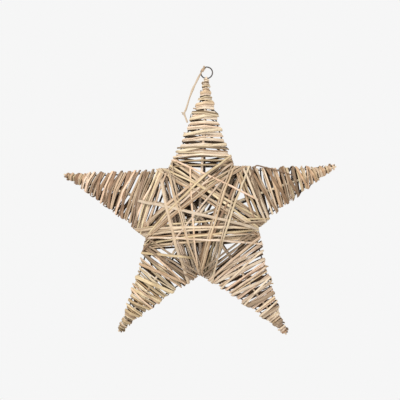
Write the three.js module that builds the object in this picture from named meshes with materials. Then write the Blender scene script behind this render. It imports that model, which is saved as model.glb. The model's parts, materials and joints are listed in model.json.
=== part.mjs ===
// Wicker star for hanging: strips of split willow wound round a star-shaped wire frame.
// Millimetres. The origin is where the ring bears on its hook: X to the right, Y to the back, Z up.
import * as THREE from "three";

const DEGREE = Math.PI / 180;

// Star: its radius drives every arm and notch, and its top arm's end lies just below the ring's bearing.
const STAR_RADIUS = 200;
const TIP_ASIDE = -0.36;
const TIP_DROP = 14.14;
// Each arm's angle from +X and, as a share of the star's radius, its apex where its edge wires would meet.
// Its ridge strip reaches, and its windings end, some millimetres beyond that.
const ARMS = [
  { name: "top", angle: 87.9, apex: 0.955, reach: 14.9, wound: 7.4, slants: [1, 3], crossing: 11 },
  { name: "right", angle: 20.1, apex: 0.975, reach: 12.5, wound: 6, slants: [0, -19], crossing: 12 },
  { name: "lower_right", angle: -54.3, apex: 0.975, reach: 13.3, wound: 9, slants: [-5, 4], crossing: -13 },
  { name: "lower_left", angle: -125.9, apex: 0.96, reach: 13, wound: 8.5, slants: [-6, 5], crossing: 14 },
  { name: "left", angle: 162.6, apex: 1.01, reach: 11.4, wound: 5, slants: [-2, -16], crossing: 9 },
];
// Notches between one arm and the next, clockwise from the top arm, with radii in the same shares
const NOTCHES = [
  { angle: 57, radius: 0.3985 },
  { angle: -11.4, radius: 0.3825 },
  { angle: -91.2, radius: 0.385 },
  { angle: -158.5, radius: 0.395 },
  { angle: 124, radius: 0.39 },
];

// Wire frame
const EDGE_WIRE_R = 1.0;
const RIDGE_WIRE_R = 0.8;
const WIRE_SIDES = 6;
const HUB_HEIGHT = 27;
const TIP_HEIGHT = 0.6;
const TIP_HALF_WIDTH = 1.9;
const EDGE_TIP_GAP = 8;
const NOTCH_GAP = 2.0;
const HUB_GAP = 3.2;
const TOUCH_GAP = 0.3;
const WRAP_GAP = 0.9;
const RIDGE_GAP = 0.8;
const LAYER_GAP = 1.0;

// Hanging ring
const RING_R = 8.6;
const RING_WIRE_R = 0.95;
const RING_STEPS = 20;
const RING_WIRE_SIDES = 8;

// Strips
const WINDING_WIDTH = 4.6;
const WINDING_THICK = 1.4;
const RIDGE_STRIP_WIDTH = 4.0;
const RIDGE_STRIP_TIP_WIDTH = 2.6;
const RIDGE_STRIP_THICK = 1.2;
const BODY_THICK = 1.3;
const BODY_WIDTH_LEAST = 2.8;
const BODY_WIDTH_MOST = 3.4;
const BEVEL = 0.6;
const LEAST_MITER = 0.5;
const SHOULDER_SHARE = 1.6;
const STRAND_WIDTH = 2.6;
const STRAND_THICK = 1.8;
const STRAND_GAP = 0.8;
const HOOK_FIRST = -150;
const HOOK_LAST = 90;
const HOOK_TURN = 111;
const HOOK_STEPS = 5;
const CAUGHT_BELOW_TIP = 67.9;
// Bends of the loose strand below the ring, in millimetres
const STRAND_BENDS = [
  [-13, -2.2, -16],
  [-20.1, -0.8, -30.9],
  [-31.5, 0.4, -63.5],
  [-33.7, 0, -68.1],
];
const HUB_FLAT = 8;
const RIDGE_PRESSED = 78;
const TAIL_GAP = 3;

// Windings: the first turn stands clear of the body strips' last slots
const WIND_CLEAR = 4;
const LEAST_TURNS = 2;
const SLOPE_PASSES = 4;
const PITCH_BASE = 8.8;
const PITCH_TIP = 5.9;
const CROSS_PITCH_BASE = 22;
const CROSS_PITCH_TIP = 14;
const PLACE_JITTER = 0.5;

// Body strips: slots along both edges of every notch
const LAYERS = [
  { slots: 5, first: 4.2, step: 4.2 },
  { slots: 4, first: 6.4, step: 4.5 },
];
const FRONT_RUNS = [
  [
    { steps: 2, from: 1, order: 2 },
    { steps: 2, from: 1, order: 0 },
    { steps: 2, from: 1, order: 3 },
    { steps: 2, from: 1, order: 1 },
    { steps: 1, from: 1, order: 4 },
  ],
  [
    { steps: 2, from: 0, order: 1 },
    { steps: 2, from: 0, order: 0 },
    { steps: 2, from: 1, order: 3 },
    { steps: 2, from: 1, order: 2 },
  ],
];
const BACK_RUNS = [
  [
    { steps: 2, from: 1, order: 1 },
    { steps: 1, from: 1, order: 3 },
    { steps: 2, from: 1, order: 0 },
    { steps: 1, from: 1, order: 4 },
    { steps: 2, from: 1, order: 2 },
  ],
  [
    { steps: 2, from: 0, order: 0 },
    { steps: 2, from: 0, order: 1 },
    { steps: 2, from: 1, order: 2 },
    { steps: 2, from: 1, order: 3 },
  ],
];
const CHORDS_PER_STRAND = 6;
const SAMPLE_STEP = 0.75;
const LAY_PASSES = 4;
const MOST_SLOPE = 1.5;
const SIDE_MARGIN = 0.5;
const HULL_SLACK = 0.8;
const LEAST_TURN = 0.02;
const WIRE_CLEAR = 1.05;
const LEAST_LEAN = 0.4;

const Y_AXIS = new THREE.Vector3(0, 1, 0);
const mix = ([first, last], share) => first + (last - first) * share;

// Same run of numbers every time, between 0 and 1.
function makeDice(seed) {
  let state = seed;
  return () => {
    state = (state * 16807) % 2147483647;
    return state / 2147483647;
  };
}
const dice = makeDice(4127);
const spread = (amount) => (dice() * 2 - 1) * amount;

// Arm frame: along the arm, across it (clockwise side positive) and to the back.
ARMS.forEach((arm, index) => {
  const turn = arm.angle * DEGREE;
  arm.index = index;
  arm.along = new THREE.Vector3(Math.cos(turn), 0, Math.sin(turn));
  arm.across = new THREE.Vector3(Math.sin(turn), 0, -Math.cos(turn));
  arm.apex *= STAR_RADIUS;
  arm.reach += arm.apex;
  arm.wound += arm.apex;
});
const CENTRE = new THREE.Vector3(TIP_ASIDE, 0, -TIP_DROP).addScaledVector(ARMS[0].along, -ARMS[0].reach);

function armPoint(arm, along, across, depth) {
  return CENTRE.clone()
    .addScaledVector(arm.along, along)
    .addScaledVector(arm.across, across)
    .addScaledVector(Y_AXIS, depth);
}

NOTCHES.forEach((notch, index) => {
  const turn = notch.angle * DEGREE;
  notch.index = index;
  notch.radius *= STAR_RADIUS;
  notch.point = CENTRE.clone().add(
    new THREE.Vector3(Math.cos(turn), 0, Math.sin(turn)).multiplyScalar(notch.radius),
  );
});

// Edge lines: side +1 runs to the notch clockwise of the arm, side -1 to the other one.
ARMS.forEach((arm) => {
  arm.tip = armPoint(arm, arm.apex, 0, 0);
  arm.edges = {};
  for (const side of [1, -1]) {
    const notch = NOTCHES[side === 1 ? arm.index : (arm.index + ARMS.length - 1) % ARMS.length];
    const from = notch.point.clone().sub(CENTRE);
    const direction = arm.tip.clone().sub(notch.point).normalize();
    const outward = direction.clone().cross(Y_AXIS).normalize();
    if (outward.dot(arm.across) * side < 0) outward.negate();
    arm.edges[side] = {
      notch,
      direction,
      outward,
      baseAlong: from.dot(arm.along),
      baseAcross: from.dot(arm.across),
      flare: outward.dot(arm.across) * side,
    };
  }
});

function edgeAcross(arm, side, along) {
  const edge = arm.edges[side];
  const share = (arm.apex - along) / (arm.apex - edge.baseAlong);
  return side * Math.max(Math.abs(edge.baseAcross) * share, TIP_HALF_WIDTH);
}

function ridgeHeight(arm, along) {
  return Math.max(HUB_HEIGHT * (1 - along / arm.apex), 0) + TIP_HEIGHT;
}

// One closed skin over a row of cross-sections with the same number of corners, and flat ends.
function sweep(sections) {
  const corners = sections[0].length;
  const positions = [];
  for (const section of sections) {
    for (const corner of section) positions.push(corner.x, corner.y, corner.z);
  }
  const faces = [];
  for (let i = 0; i < sections.length - 1; i++) {
    const here = i * corners;
    const next = here + corners;
    for (let c = 0; c < corners; c++) {
      const d = (c + 1) % corners;
      faces.push(here + c, here + d, next + d);
      faces.push(here + c, next + d, next + c);
    }
  }
  const last = (sections.length - 1) * corners;
  for (let c = 1; c < corners - 1; c++) {
    faces.push(0, c + 1, c);
    faces.push(last, last + c, last + c + 1);
  }
  const geometry = new THREE.BufferGeometry();
  geometry.setAttribute("position", new THREE.Float32BufferAttribute(positions, 3));
  geometry.setIndex(faces);
  if (signedVolume(positions, faces) < 0) {
    for (let i = 0; i < faces.length; i += 3) {
      const kept = faces[i + 1];
      faces[i + 1] = faces[i + 2];
      faces[i + 2] = kept;
    }
    geometry.setIndex(faces);
  }
  geometry.computeVertexNormals();
  return geometry;
}

function signedVolume(positions, faces) {
  const corner = (index) => new THREE.Vector3().fromArray(positions, index * 3);
  let sum = 0;
  for (let i = 0; i < faces.length; i += 3) {
    sum += corner(faces[i]).dot(corner(faces[i + 1]).cross(corner(faces[i + 2])));
  }
  return sum / 6;
}

// A flat strip folded at each point along that point's own fold line, with a width for each point.
// A slanting strip is longer along its fold line, so that its own width stays the same.
function foldedStrip(points, folds, widths, thick, slanting) {
  const count = points.length;
  const sections = points.map((point, i) => {
    const before = i > 0 ? points[i - 1] : null;
    const after = i < count - 1 ? points[i + 1] : null;
    const arriving = before ? point.clone().sub(before).normalize() : null;
    const leaving = after ? after.clone().sub(point).normalize() : arriving;
    const coming = arriving ?? leaving;
    const fold = folds[i];
    const firstNormal = fold.clone().cross(coming);
    const secondNormal = fold.clone().cross(leaving);
    const square = (firstNormal.length() + secondNormal.length()) / 2;
    const reach = widths[i] / 2 / (slanting ? square : 1);
    firstNormal.normalize();
    secondNormal.normalize();
    const middle = firstNormal.clone().add(secondNormal).normalize();
    const half = thick / 2 / Math.max(middle.dot(firstNormal), LEAST_MITER);
    const along = fold.clone().multiplyScalar(reach);
    const up = middle.multiplyScalar(half);
    return [
      point.clone().sub(along).sub(up),
      point.clone().add(along).sub(up),
      point.clone().add(along).add(up),
      point.clone().sub(along).add(up),
    ];
  });
  return sweep(sections);
}

// A straight rod with flat ends.
function rod(from, to, radius) {
  const direction = to.clone().sub(from).normalize();
  const first = direction.clone().cross(Y_AXIS).normalize();
  const second = direction.clone().cross(first);
  const around = (centre) =>
    Array.from({ length: WIRE_SIDES }, (_, i) => {
      const turn = (i * 2 * Math.PI) / WIRE_SIDES;
      return centre
        .clone()
        .addScaledVector(first, Math.cos(turn) * radius)
        .addScaledVector(second, Math.sin(turn) * radius);
    });
  return sweep([around(from), around(to)]);
}

const star = new THREE.Group();
const WIRE_COLOUR = 0x2c2a28;
const STRIP_COLOURS = [0xc4a883, 0xbd9c78, 0xcdb092, 0xb6a27a, 0xb18d65];
function addNode(name, geometry, colour, roughness = 0.75, metalness = 0) {
  const material = new THREE.MeshStandardMaterial({ color: colour, roughness, metalness });
  const mesh = new THREE.Mesh(geometry, material);
  mesh.name = name;
  star.add(mesh);
}
const stripColour = (index) => STRIP_COLOURS[index % STRIP_COLOURS.length];

// Frame wires
for (const arm of ARMS) {
  for (const side of [1, -1]) {
    const edge = arm.edges[side];
    const from = edge.notch.point.clone().addScaledVector(edge.direction, NOTCH_GAP);
    const to = arm.tip.clone().addScaledVector(edge.direction, -EDGE_TIP_GAP);
    const hand = side === 1 ? "clockwise" : "counter";
    addNode(`edge_wire_${arm.name}_${hand}`, rod(from, to, EDGE_WIRE_R), WIRE_COLOUR, 0.5, 0.6);
  }
  for (const [side, word] of [[-1, "front"], [1, "back"]]) {
    const end = arm.apex - EDGE_TIP_GAP;
    const from = armPoint(arm, HUB_GAP, 0, side * ridgeHeight(arm, HUB_GAP));
    const to = armPoint(arm, end, 0, side * ridgeHeight(arm, end));
    addNode(`ridge_wire_${arm.name}_${word}`, rod(from, to, RIDGE_WIRE_R), WIRE_COLOUR, 0.5, 0.6);
  }
}

// Ring: its inside top is the origin.
const ring = new THREE.TorusGeometry(RING_R, RING_WIRE_R, RING_WIRE_SIDES, RING_STEPS);
const RING_CENTRE_Z = -(RING_R - RING_WIRE_R);
ring.rotateX(Math.PI / 2);
ring.translate(0, 0, RING_CENTRE_Z);
addNode("hanging_ring", ring, WIRE_COLOUR, 0.45, 0.7);

// Ridge strips: from a notch over the hub, along the front ridge, over the tip and back the same way
function ridgeStripWidth(arm, along) {
  const share = Math.min(Math.max(along, 0) / arm.apex, 1);
  return RIDGE_STRIP_WIDTH + (RIDGE_STRIP_TIP_WIDTH - RIDGE_STRIP_WIDTH) * share;
}
const STRIP_RISE = RIDGE_WIRE_R + TOUCH_GAP + RIDGE_STRIP_THICK / 2;
for (const arm of ARMS) {
  const level = (along) => ridgeHeight(arm, along) + STRIP_RISE;
  const top = level(0) + arm.index * (RIDGE_STRIP_THICK + TOUCH_GAP);
  const notch = NOTCHES[(arm.index + 2) % NOTCHES.length];
  const heading = notch.point.clone().sub(CENTRE).normalize();
  const turnHeight = level(arm.apex) * BEVEL;
  const shoulder = arm.reach - RIDGE_STRIP_THICK * SHOULDER_SHARE;
  const tail = notch.radius - TAIL_GAP;
  // Runs of [distance from the centre, height], over the arm and over the notch side
  arm.ridgeRun = [
    [HUB_FLAT, top],
    [RIDGE_PRESSED, level(RIDGE_PRESSED)],
    [arm.apex, level(arm.apex)],
  ];
  arm.tailRun = [
    [HUB_FLAT, top],
    [tail, EDGE_WIRE_R + TOUCH_GAP],
  ];
  arm.tailHeading = heading;
  const half = [];
  const place = (direction, along, height) => CENTRE.clone().addScaledVector(direction, along).setY(height);
  for (const [along, height] of [...arm.tailRun].reverse()) {
    half.push({ point: place(heading, along, height), width: RIDGE_STRIP_WIDTH });
  }
  for (const [along, height] of [...arm.ridgeRun, [shoulder, level(arm.apex)], [arm.reach, turnHeight]]) {
    half.push({ point: place(arm.along, along, height), width: ridgeStripWidth(arm, along) });
  }
  const front = half.map(({ point, width }) => ({ point: point.clone().setY(-point.y), width }));
  const run = [...front, ...half.reverse()];
  const folds = run.map(() => arm.across.clone());
  addNode(
    `ridge_strip_${arm.name}`,
    foldedStrip(
      run.map(({ point }) => point),
      folds,
      run.map(({ width }) => width),
      RIDGE_STRIP_THICK,
      false,
    ),
    stripColour(arm.index + 2),
  );
}

// Corner lines that a winding runs over, at a given clearance from the frame
const EDGE_RISE = EDGE_WIRE_R + TOUCH_GAP + WINDING_THICK / 2;
const RIDGE_RISE = STRIP_RISE + RIDGE_STRIP_THICK / 2 + RIDGE_GAP;

// The slope of a winding's face at one place, and the height of its ridge and edge corners
function faceShape(arm, along, lift) {
  const half = (edgeAcross(arm, 1, along) - edgeAcross(arm, -1, along)) / 2;
  const edgeRise = EDGE_RISE + lift;
  const stripHalf = ridgeStripWidth(arm, along) / 2;
  let slope = Math.atan2(ridgeHeight(arm, along), half);
  let ridge = 0;
  let edge = 0;
  for (let pass = 0; pass < SLOPE_PASSES; pass++) {
    const above = RIDGE_RISE + stripHalf * Math.tan(slope) + (WINDING_THICK / 2 + lift) / Math.cos(slope);
    ridge = ridgeHeight(arm, along) + above;
    edge = (edgeRise * (1 - Math.sin(slope))) / Math.cos(slope);
    slope = Math.atan2(ridge - edge, half + edgeRise);
  }
  return { ridge, edge, edgeRise };
}

function cornerPoint(arm, corner, along, layer) {
  const shape = faceShape(arm, along, layer * (WINDING_THICK + LAYER_GAP));
  if (corner.ridge) return armPoint(arm, along, 0, corner.depth * shape.ridge);
  const beyond = (corner.side * shape.edgeRise) / arm.edges[corner.side].flare;
  const across = edgeAcross(arm, corner.side, along) + beyond;
  return armPoint(arm, along, across, corner.depth * shape.edge);
}
const CORNERS = [
  { side: -1, depth: -1, share: 0 },
  { ridge: true, depth: -1, share: 0.5 },
  { side: 1, depth: -1, share: 1 },
  { side: 1, depth: 1, share: 1 },
  { ridge: true, depth: 1, share: 1.5 },
  { side: -1, depth: 1, share: 2 },
];

// A winding: each turn starts at the counter-clockwise edge and slants over the front.
// A whole number of turns fills the arm from the start to its wound end.
function winding(arm, layer, start, slants, pitches) {
  const points = [];
  const folds = [];
  const meanPitch = (pitches[0] + pitches[1]) / 2;
  const turns = Math.max(Math.floor((arm.wound - start) / meanPitch), LEAST_TURNS);
  const stretch = (arm.wound - start) / (turns * meanPitch);
  let along = start;
  for (let turn = 0; turn < turns; turn++) {
    const share = turn / (turns - 1);
    const pitch = mix(pitches, share) * stretch;
    const place = along + spread(PLACE_JITTER);
    const width = edgeAcross(arm, 1, along) - edgeAcross(arm, -1, along);
    const lean = Math.tan(mix(slants, share) * DEGREE) * width;
    for (const corner of CORNERS) {
      const front = Math.min(corner.share, 1);
      const back = Math.max(corner.share - 1, 0);
      const at = Math.min(place + lean * front + (pitch - lean) * back, arm.wound);
      const point = cornerPoint(arm, corner, at, layer);
      points.push(point);
      folds.push(cornerPoint(arm, corner, at + 1, layer).sub(point).normalize());
    }
    along += pitch;
  }
  const widths = points.map(() => WINDING_WIDTH);
  return foldedStrip(points, folds, widths, WINDING_THICK, true);
}

// Where along the arm the first turn's two ends both clear the body strips
function windingStart(arm, slant) {
  const lastSlot = Math.max(...LAYERS.map((layer) => layer.first + layer.step * (layer.slots - 1)));
  const base = Math.max(arm.edges[1].baseAlong, arm.edges[-1].baseAlong) + lastSlot + WIND_CLEAR;
  const width = edgeAcross(arm, 1, base) - edgeAcross(arm, -1, base);
  return base + Math.max(-Math.tan(slant * DEGREE) * width, 0);
}
for (const arm of ARMS) {
  const main = winding(arm, 0, windingStart(arm, arm.slants[0]), arm.slants, [PITCH_BASE, PITCH_TIP]);
  addNode(`winding_${arm.name}`, main, stripColour(arm.index));
  const crossing = winding(
    arm,
    1,
    windingStart(arm, arm.crossing),
    [arm.crossing, arm.crossing],
    [CROSS_PITCH_BASE, CROSS_PITCH_TIP],
  );
  addNode(`crossing_${arm.name}`, crossing, stripColour(arm.index + 3));
}

// Body strips: each slot is a place on an edge wire where one strip goes round it.
const slots = new Map();
LAYERS.forEach((layer, level) => {
  layer.rise = EDGE_WIRE_R + TOUCH_GAP + BODY_THICK / 2 + level * (BODY_THICK + WRAP_GAP);
  for (const notch of NOTCHES) {
    for (const side of [0, 1]) {
      const arm = ARMS[(notch.index + side) % ARMS.length];
      const edge = arm.edges[side === 0 ? 1 : -1];
      for (let i = 0; i < layer.slots; i++) {
        const key = `${level}.${notch.index}.${side}.${i}`;
        const wire = notch.point.clone().addScaledVector(edge.direction, layer.first + layer.step * i);
        slots.set(key, {
          key,
          turn: wire.clone().addScaledVector(edge.outward, layer.rise),
          rise: layer.rise,
          direction: edge.direction,
          outward: edge.outward,
          width: BODY_WIDTH_LEAST + dice() * (BODY_WIDTH_MOST - BODY_WIDTH_LEAST),
        });
      }
    }
  }
});

// A chord is one straight crossing of the body, seen from the front.
function makeChord(from, to) {
  const line = to.turn.clone().sub(from.turn);
  const length = line.length();
  const direction = line.normalize();
  const across = direction.clone().cross(Y_AXIS);
  const folds = [from, to].map((slot) => {
    const fold = slot.direction.clone();
    return fold.dot(across) < 0 ? fold.negate() : fold;
  });
  return { from, to, length, direction, across, folds, heights: null, width: 0 };
}

// The way a strip's width points, turning evenly from one edge wire to the other
function foldAt(chord, along) {
  const [first, last] = chord.folds;
  return first.clone().lerp(last, along / chord.length);
}

function heightAt(heights, along) {
  for (let i = 1; i < heights.length; i++) {
    if (along <= heights[i][0]) {
      const [a, low] = heights[i - 1];
      const [b, high] = heights[i];
      return low + ((high - low) * (along - a)) / (b - a);
    }
  }
  return heights[heights.length - 1][1];
}

function slopeAt(heights, along) {
  for (let i = 1; i < heights.length; i++) {
    if (along <= heights[i][0]) {
      const [a, low] = heights[i - 1];
      const [b, high] = heights[i];
      return Math.abs(high - low) / (b - a);
    }
  }
  return 0;
}

// Where a laid strip passes a point: its height and slope there, or nothing where it doesn't reach
function passOver(other, x, z) {
  const dx = x - other.from.turn.x;
  const dz = z - other.from.turn.z;
  const place = dx * other.direction.x + dz * other.direction.z;
  const off = dx * other.across.x + dz * other.across.z;
  if (Math.abs(off) > other.width) return null;
  let along = place;
  let aside = off;
  for (let pass = 0; pass < 3; pass++) {
    const fold = foldAt(other, Math.min(Math.max(along, 0), other.length));
    aside = off / fold.dot(other.across);
    along = place - aside * fold.dot(other.direction);
  }
  if (Math.abs(aside) > other.width / 2 + SIDE_MARGIN) return null;
  if (along < -SIDE_MARGIN || along > other.length + SIDE_MARGIN) return null;
  const within = Math.min(Math.max(along, 0), other.length);
  return { height: heightAt(other.heights, within), slope: slopeAt(other.heights, within) };
}

// The least height that clears every strip already laid, at one place along a chord
function neededHeight(chord, along, laid, slope) {
  let needed = 0;
  const fold = foldAt(chord, along);
  for (const share of [-1, -0.5, 0, 0.5, 1]) {
    const aside = (share * chord.width) / 2;
    const x = chord.from.turn.x + chord.direction.x * along + fold.x * aside;
    const z = chord.from.turn.z + chord.direction.z * along + fold.z * aside;
    for (const other of laid) {
      const under = passOver(other, x, z);
      if (!under) continue;
      const steepest = Math.min(Math.max(slope, under.slope), MOST_SLOPE);
      const clear = ((other.thick + BODY_THICK) / 2) * Math.hypot(1, steepest) + TOUCH_GAP;
      needed = Math.max(needed, under.height + clear);
    }
  }
  return needed;
}

function upperHull(points) {
  const hull = [];
  for (const point of points) {
    while (hull.length > 1) {
      const [ax, ay] = hull[hull.length - 2];
      const [bx, by] = hull[hull.length - 1];
      if ((bx - ax) * (point[1] - ay) - (by - ay) * (point[0] - ax) >= 0) hull.pop();
      else break;
    }
    hull.push(point);
  }
  return hull;
}

// Replaces the shortest sides of the hull by the corner where their neighbours meet, which only lifts it.
function simplified(hull) {
  const kept = [...hull];
  for (;;) {
    let least = HULL_SLACK;
    let best = null;
    for (let i = 1; i < kept.length - 2; i++) {
      const [[ax, ay], [bx, by], [cx, cy], [dx, dy]] = kept.slice(i - 1, i + 3);
      const rising = (by - ay) / (bx - ax);
      const falling = (dy - cy) / (dx - cx);
      if (rising - falling < LEAST_TURN) continue;
      const x = (cy - by + rising * bx - falling * cx) / (rising - falling);
      const y = by + rising * (x - bx);
      const lift = y - heightAt([kept[i], kept[i + 1]], x);
      if (lift < least) {
        least = lift;
        best = { i, corner: [x, y] };
      }
    }
    if (!best) return kept;
    kept.splice(best.i, 2, best.corner);
  }
}

// Lays a chord taut over what is already there. Its own slope decides the room it needs, so it is laid again.
function layChord(chord, laid) {
  chord.thick = BODY_THICK;
  const rise = chord.from.rise;
  for (let pass = 0; pass < LAY_PASSES; pass++) {
    const points = [[0, rise * BEVEL]];
    for (let along = SAMPLE_STEP; along < chord.length; along += SAMPLE_STEP) {
      const slope = chord.heights ? slopeAt(chord.heights, along) : 0;
      points.push([along, neededHeight(chord, along, laid, slope)]);
    }
    for (const end of [0, 1]) {
      const slot = end === 0 ? chord.from : chord.to;
      const lean = Math.abs(slot.outward.dot(chord.direction));
      const place = rise / Math.max(lean, LEAST_LEAN);
      points.push([end === 0 ? place : chord.length - place, rise * WIRE_CLEAR]);
    }
    points.push([chord.length, rise * BEVEL]);
    points.sort((a, b) => a[0] - b[0]);
    chord.heights = simplified(upperHull(points));
  }
  laid.push(chord);
}

function runObstacle(heading, run, width) {
  const [start] = run[0];
  const across = heading.clone().cross(Y_AXIS);
  return {
    from: { turn: CENTRE.clone().addScaledVector(heading, start) },
    direction: heading,
    across,
    folds: [across, across],
    length: run[run.length - 1][0] - start,
    width,
    thick: RIDGE_STRIP_THICK,
    heights: run.map(([along, height]) => [along - start, height]),
  };
}

function ridgeObstacles() {
  return ARMS.flatMap((arm) => {
    const top = arm.ridgeRun[0][1];
    return [
      runObstacle(arm.along, [[0, top], ...arm.ridgeRun], RIDGE_STRIP_WIDTH),
      runObstacle(arm.tailHeading, [[0, top], ...arm.tailRun], RIDGE_STRIP_WIDTH),
    ];
  });
}

function layFace(layers, face) {
  const laid = ridgeObstacles();
  const chords = new Map();
  layers.forEach((runs, level) => {
    runs.forEach((run, i) => {
      for (const notch of NOTCHES) {
        const other = (notch.index + run.steps) % NOTCHES.length;
        const from = slots.get(`${level}.${notch.index}.${run.from}.${i}`);
        const to = slots.get(`${level}.${other}.${1 - run.from}.${run.order}`);
        const chord = makeChord(from, to);
        chord.face = face;
        chord.width = (from.width + to.width) / 2;
        layChord(chord, laid);
        chords.set(from.key, chord);
        chords.set(to.key, chord);
      }
    });
  });
  return chords;
}
const frontChords = layFace(FRONT_RUNS, -1);
const backChords = layFace(BACK_RUNS, 1);

// Follows the strips from slot to slot, over the front and the back by turns.
function followStrands() {
  const used = new Set();
  const strands = [];
  for (const start of slots.values()) {
    if (used.has(frontChords.get(start.key))) continue;
    let here = start;
    let face = -1;
    let steps = [];
    for (;;) {
      const chord = (face === -1 ? frontChords : backChords).get(here.key);
      if (used.has(chord)) break;
      used.add(chord);
      steps.push({ chord, forward: chord.from === here });
      here = chord.from === here ? chord.to : chord.from;
      face = -face;
      if (steps.length === CHORDS_PER_STRAND) {
        strands.push(steps);
        steps = [];
      }
    }
    if (steps.length) strands.push(steps);
  }
  return strands;
}

function strandStrip(steps) {
  const points = [];
  const folds = [];
  const widths = [];
  for (const { chord, forward } of steps) {
    const facing = forward ? -chord.face : chord.face;
    const list = forward ? chord.heights : [...chord.heights].reverse();
    for (const [along, height] of list) {
      const point = chord.from.turn.clone().addScaledVector(chord.direction, along);
      point.y = chord.face * height;
      points.push(point);
      widths.push(chord.width);
      folds.push(foldAt(chord, along).multiplyScalar(facing));
    }
  }
  return foldedStrip(points, folds, widths, BODY_THICK, false);
}

followStrands().forEach((steps, index) => {
  const number = String(index + 1).padStart(2, "0");
  addNode(`body_strip_${number}`, strandStrip(steps), stripColour(index * 2 + 1));
});

// Loose strand: hooked round the ring, hanging beside the top arm and caught at its edge
const topArm = ARMS[0];
const HOOK_RISE = RING_WIRE_R + TOUCH_GAP + STRAND_THICK / 2;
const ringRadial = new THREE.Vector3(Math.cos(HOOK_TURN * DEGREE), 0, Math.sin(HOOK_TURN * DEGREE));
const ringTangent = new THREE.Vector3(-ringRadial.z, 0, ringRadial.x);
const hookCentre = new THREE.Vector3(0, 0, RING_CENTRE_Z).addScaledVector(ringRadial, RING_R);
const strandPoints = [];
const strandFolds = [];
for (let i = 0; i < HOOK_STEPS; i++) {
  const turn = (HOOK_FIRST + ((HOOK_LAST - HOOK_FIRST) * i) / (HOOK_STEPS - 1)) * DEGREE;
  const point = hookCentre.clone().addScaledVector(ringRadial, Math.cos(turn) * HOOK_RISE);
  point.y = -Math.sin(turn) * HOOK_RISE;
  strandPoints.push(point);
  strandFolds.push(ringTangent.clone());
}
const crossingRise = EDGE_RISE + WINDING_THICK + LAYER_GAP;
const caughtRise = crossingRise + WINDING_THICK / 2 + STRAND_GAP + STRAND_WIDTH / 2;
const caughtAt = topArm.reach - CAUGHT_BELOW_TIP;
const caught = armPoint(topArm, caughtAt, edgeAcross(topArm, -1, caughtAt) - caughtRise, 0);
const hanging = [...STRAND_BENDS.map(([x, y, z]) => new THREE.Vector3(x, y, z)), caught];
hanging.forEach((point, i) => {
  const before = i === 0 ? strandPoints[HOOK_STEPS - 1] : hanging[i - 1];
  const after = hanging[Math.min(i + 1, hanging.length - 1)];
  const travel = after.clone().sub(before).setY(0).normalize();
  strandFolds.push(travel.cross(Y_AXIS).negate());
});
strandPoints.push(...hanging);
addNode(
  "loose_strand",
  foldedStrip(
    strandPoints,
    strandFolds,
    strandPoints.map(() => STRAND_WIDTH),
    STRAND_THICK,
    false,
  ),
  stripColour(1),
);

export default star;
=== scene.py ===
"""The looks of the wicker star: split willow strips round a wire frame, in a plain studio.

Each wound strip of the frame is made again as a fine ribbon with rounded bends, uneven width and a
slight twist, from the same named sizes, and thinner strips, buds and cut ends are added. Sizes are in
millimetres until a mesh is written.
"""
import json
import math
import random
from collections import namedtuple

import bmesh
import bpy
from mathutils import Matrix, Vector, noise


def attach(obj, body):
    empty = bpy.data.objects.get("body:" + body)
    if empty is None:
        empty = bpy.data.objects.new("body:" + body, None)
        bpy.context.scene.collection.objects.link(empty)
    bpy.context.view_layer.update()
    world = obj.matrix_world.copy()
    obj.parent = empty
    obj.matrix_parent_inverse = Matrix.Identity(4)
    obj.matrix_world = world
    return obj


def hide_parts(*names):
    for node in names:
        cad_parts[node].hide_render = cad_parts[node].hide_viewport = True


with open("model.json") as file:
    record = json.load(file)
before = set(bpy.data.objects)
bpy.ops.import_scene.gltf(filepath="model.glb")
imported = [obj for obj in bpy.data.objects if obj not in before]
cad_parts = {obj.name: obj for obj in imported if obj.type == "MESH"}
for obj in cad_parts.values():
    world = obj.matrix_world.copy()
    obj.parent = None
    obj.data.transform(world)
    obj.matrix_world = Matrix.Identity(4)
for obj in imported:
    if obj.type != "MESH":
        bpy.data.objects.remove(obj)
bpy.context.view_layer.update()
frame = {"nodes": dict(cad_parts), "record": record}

MM = 0.001
DEGREE = math.pi / 180

# The star's sizes, as in the frame: apexes and notch radii are shares of the star's radius
STAR_RADIUS = 200
TIP_ASIDE = -0.36
TIP_DROP = 14.14
ARMS = [
    dict(name="top", angle=87.9, apex=0.955, reach=14.9, wound=7.4, slants=(1, 3), crossing=11),
    dict(name="right", angle=20.1, apex=0.975, reach=12.5, wound=6, slants=(0, -19), crossing=12),
    dict(name="lower_right", angle=-54.3, apex=0.975, reach=13.3, wound=9, slants=(-5, 4), crossing=-13),
    dict(name="lower_left", angle=-125.9, apex=0.96, reach=13, wound=8.5, slants=(-6, 5), crossing=14),
    dict(name="left", angle=162.6, apex=1.01, reach=11.4, wound=5, slants=(-2, -16), crossing=9),
]
NOTCHES = [(57, 0.3985), (-11.4, 0.3825), (-91.2, 0.385), (-158.5, 0.395), (124, 0.39)]
EDGE_WIRE_R = 1.0
RIDGE_WIRE_R = 0.8
HUB_HEIGHT = 27
TIP_HEIGHT = 0.6
TIP_HALF_WIDTH = 1.9
TOUCH_GAP = 0.3
WRAP_GAP = 0.9
RIDGE_GAP = 0.8
LAYER_GAP = 1.0
RING_R = 8.6
RING_WIRE_R = 0.95
WINDING_WIDTH = 4.6
WINDING_THICK = 1.4
RIDGE_STRIP_WIDTH = 4.0
RIDGE_STRIP_TIP_WIDTH = 2.6
RIDGE_STRIP_THICK = 1.2
BODY_THICK = 1.3
BODY_WIDTH_LEAST = 2.8
BODY_WIDTH_MOST = 3.4
BEVEL = 0.6
STRAND_WIDTH = 2.6
STRAND_THICK = 1.8
STRAND_GAP = 0.8
HOOK_FIRST = -150
HOOK_LAST = 90
HOOK_TURN = 111
HOOK_STEPS = 5
CAUGHT_BELOW_TIP = 67.9
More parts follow.
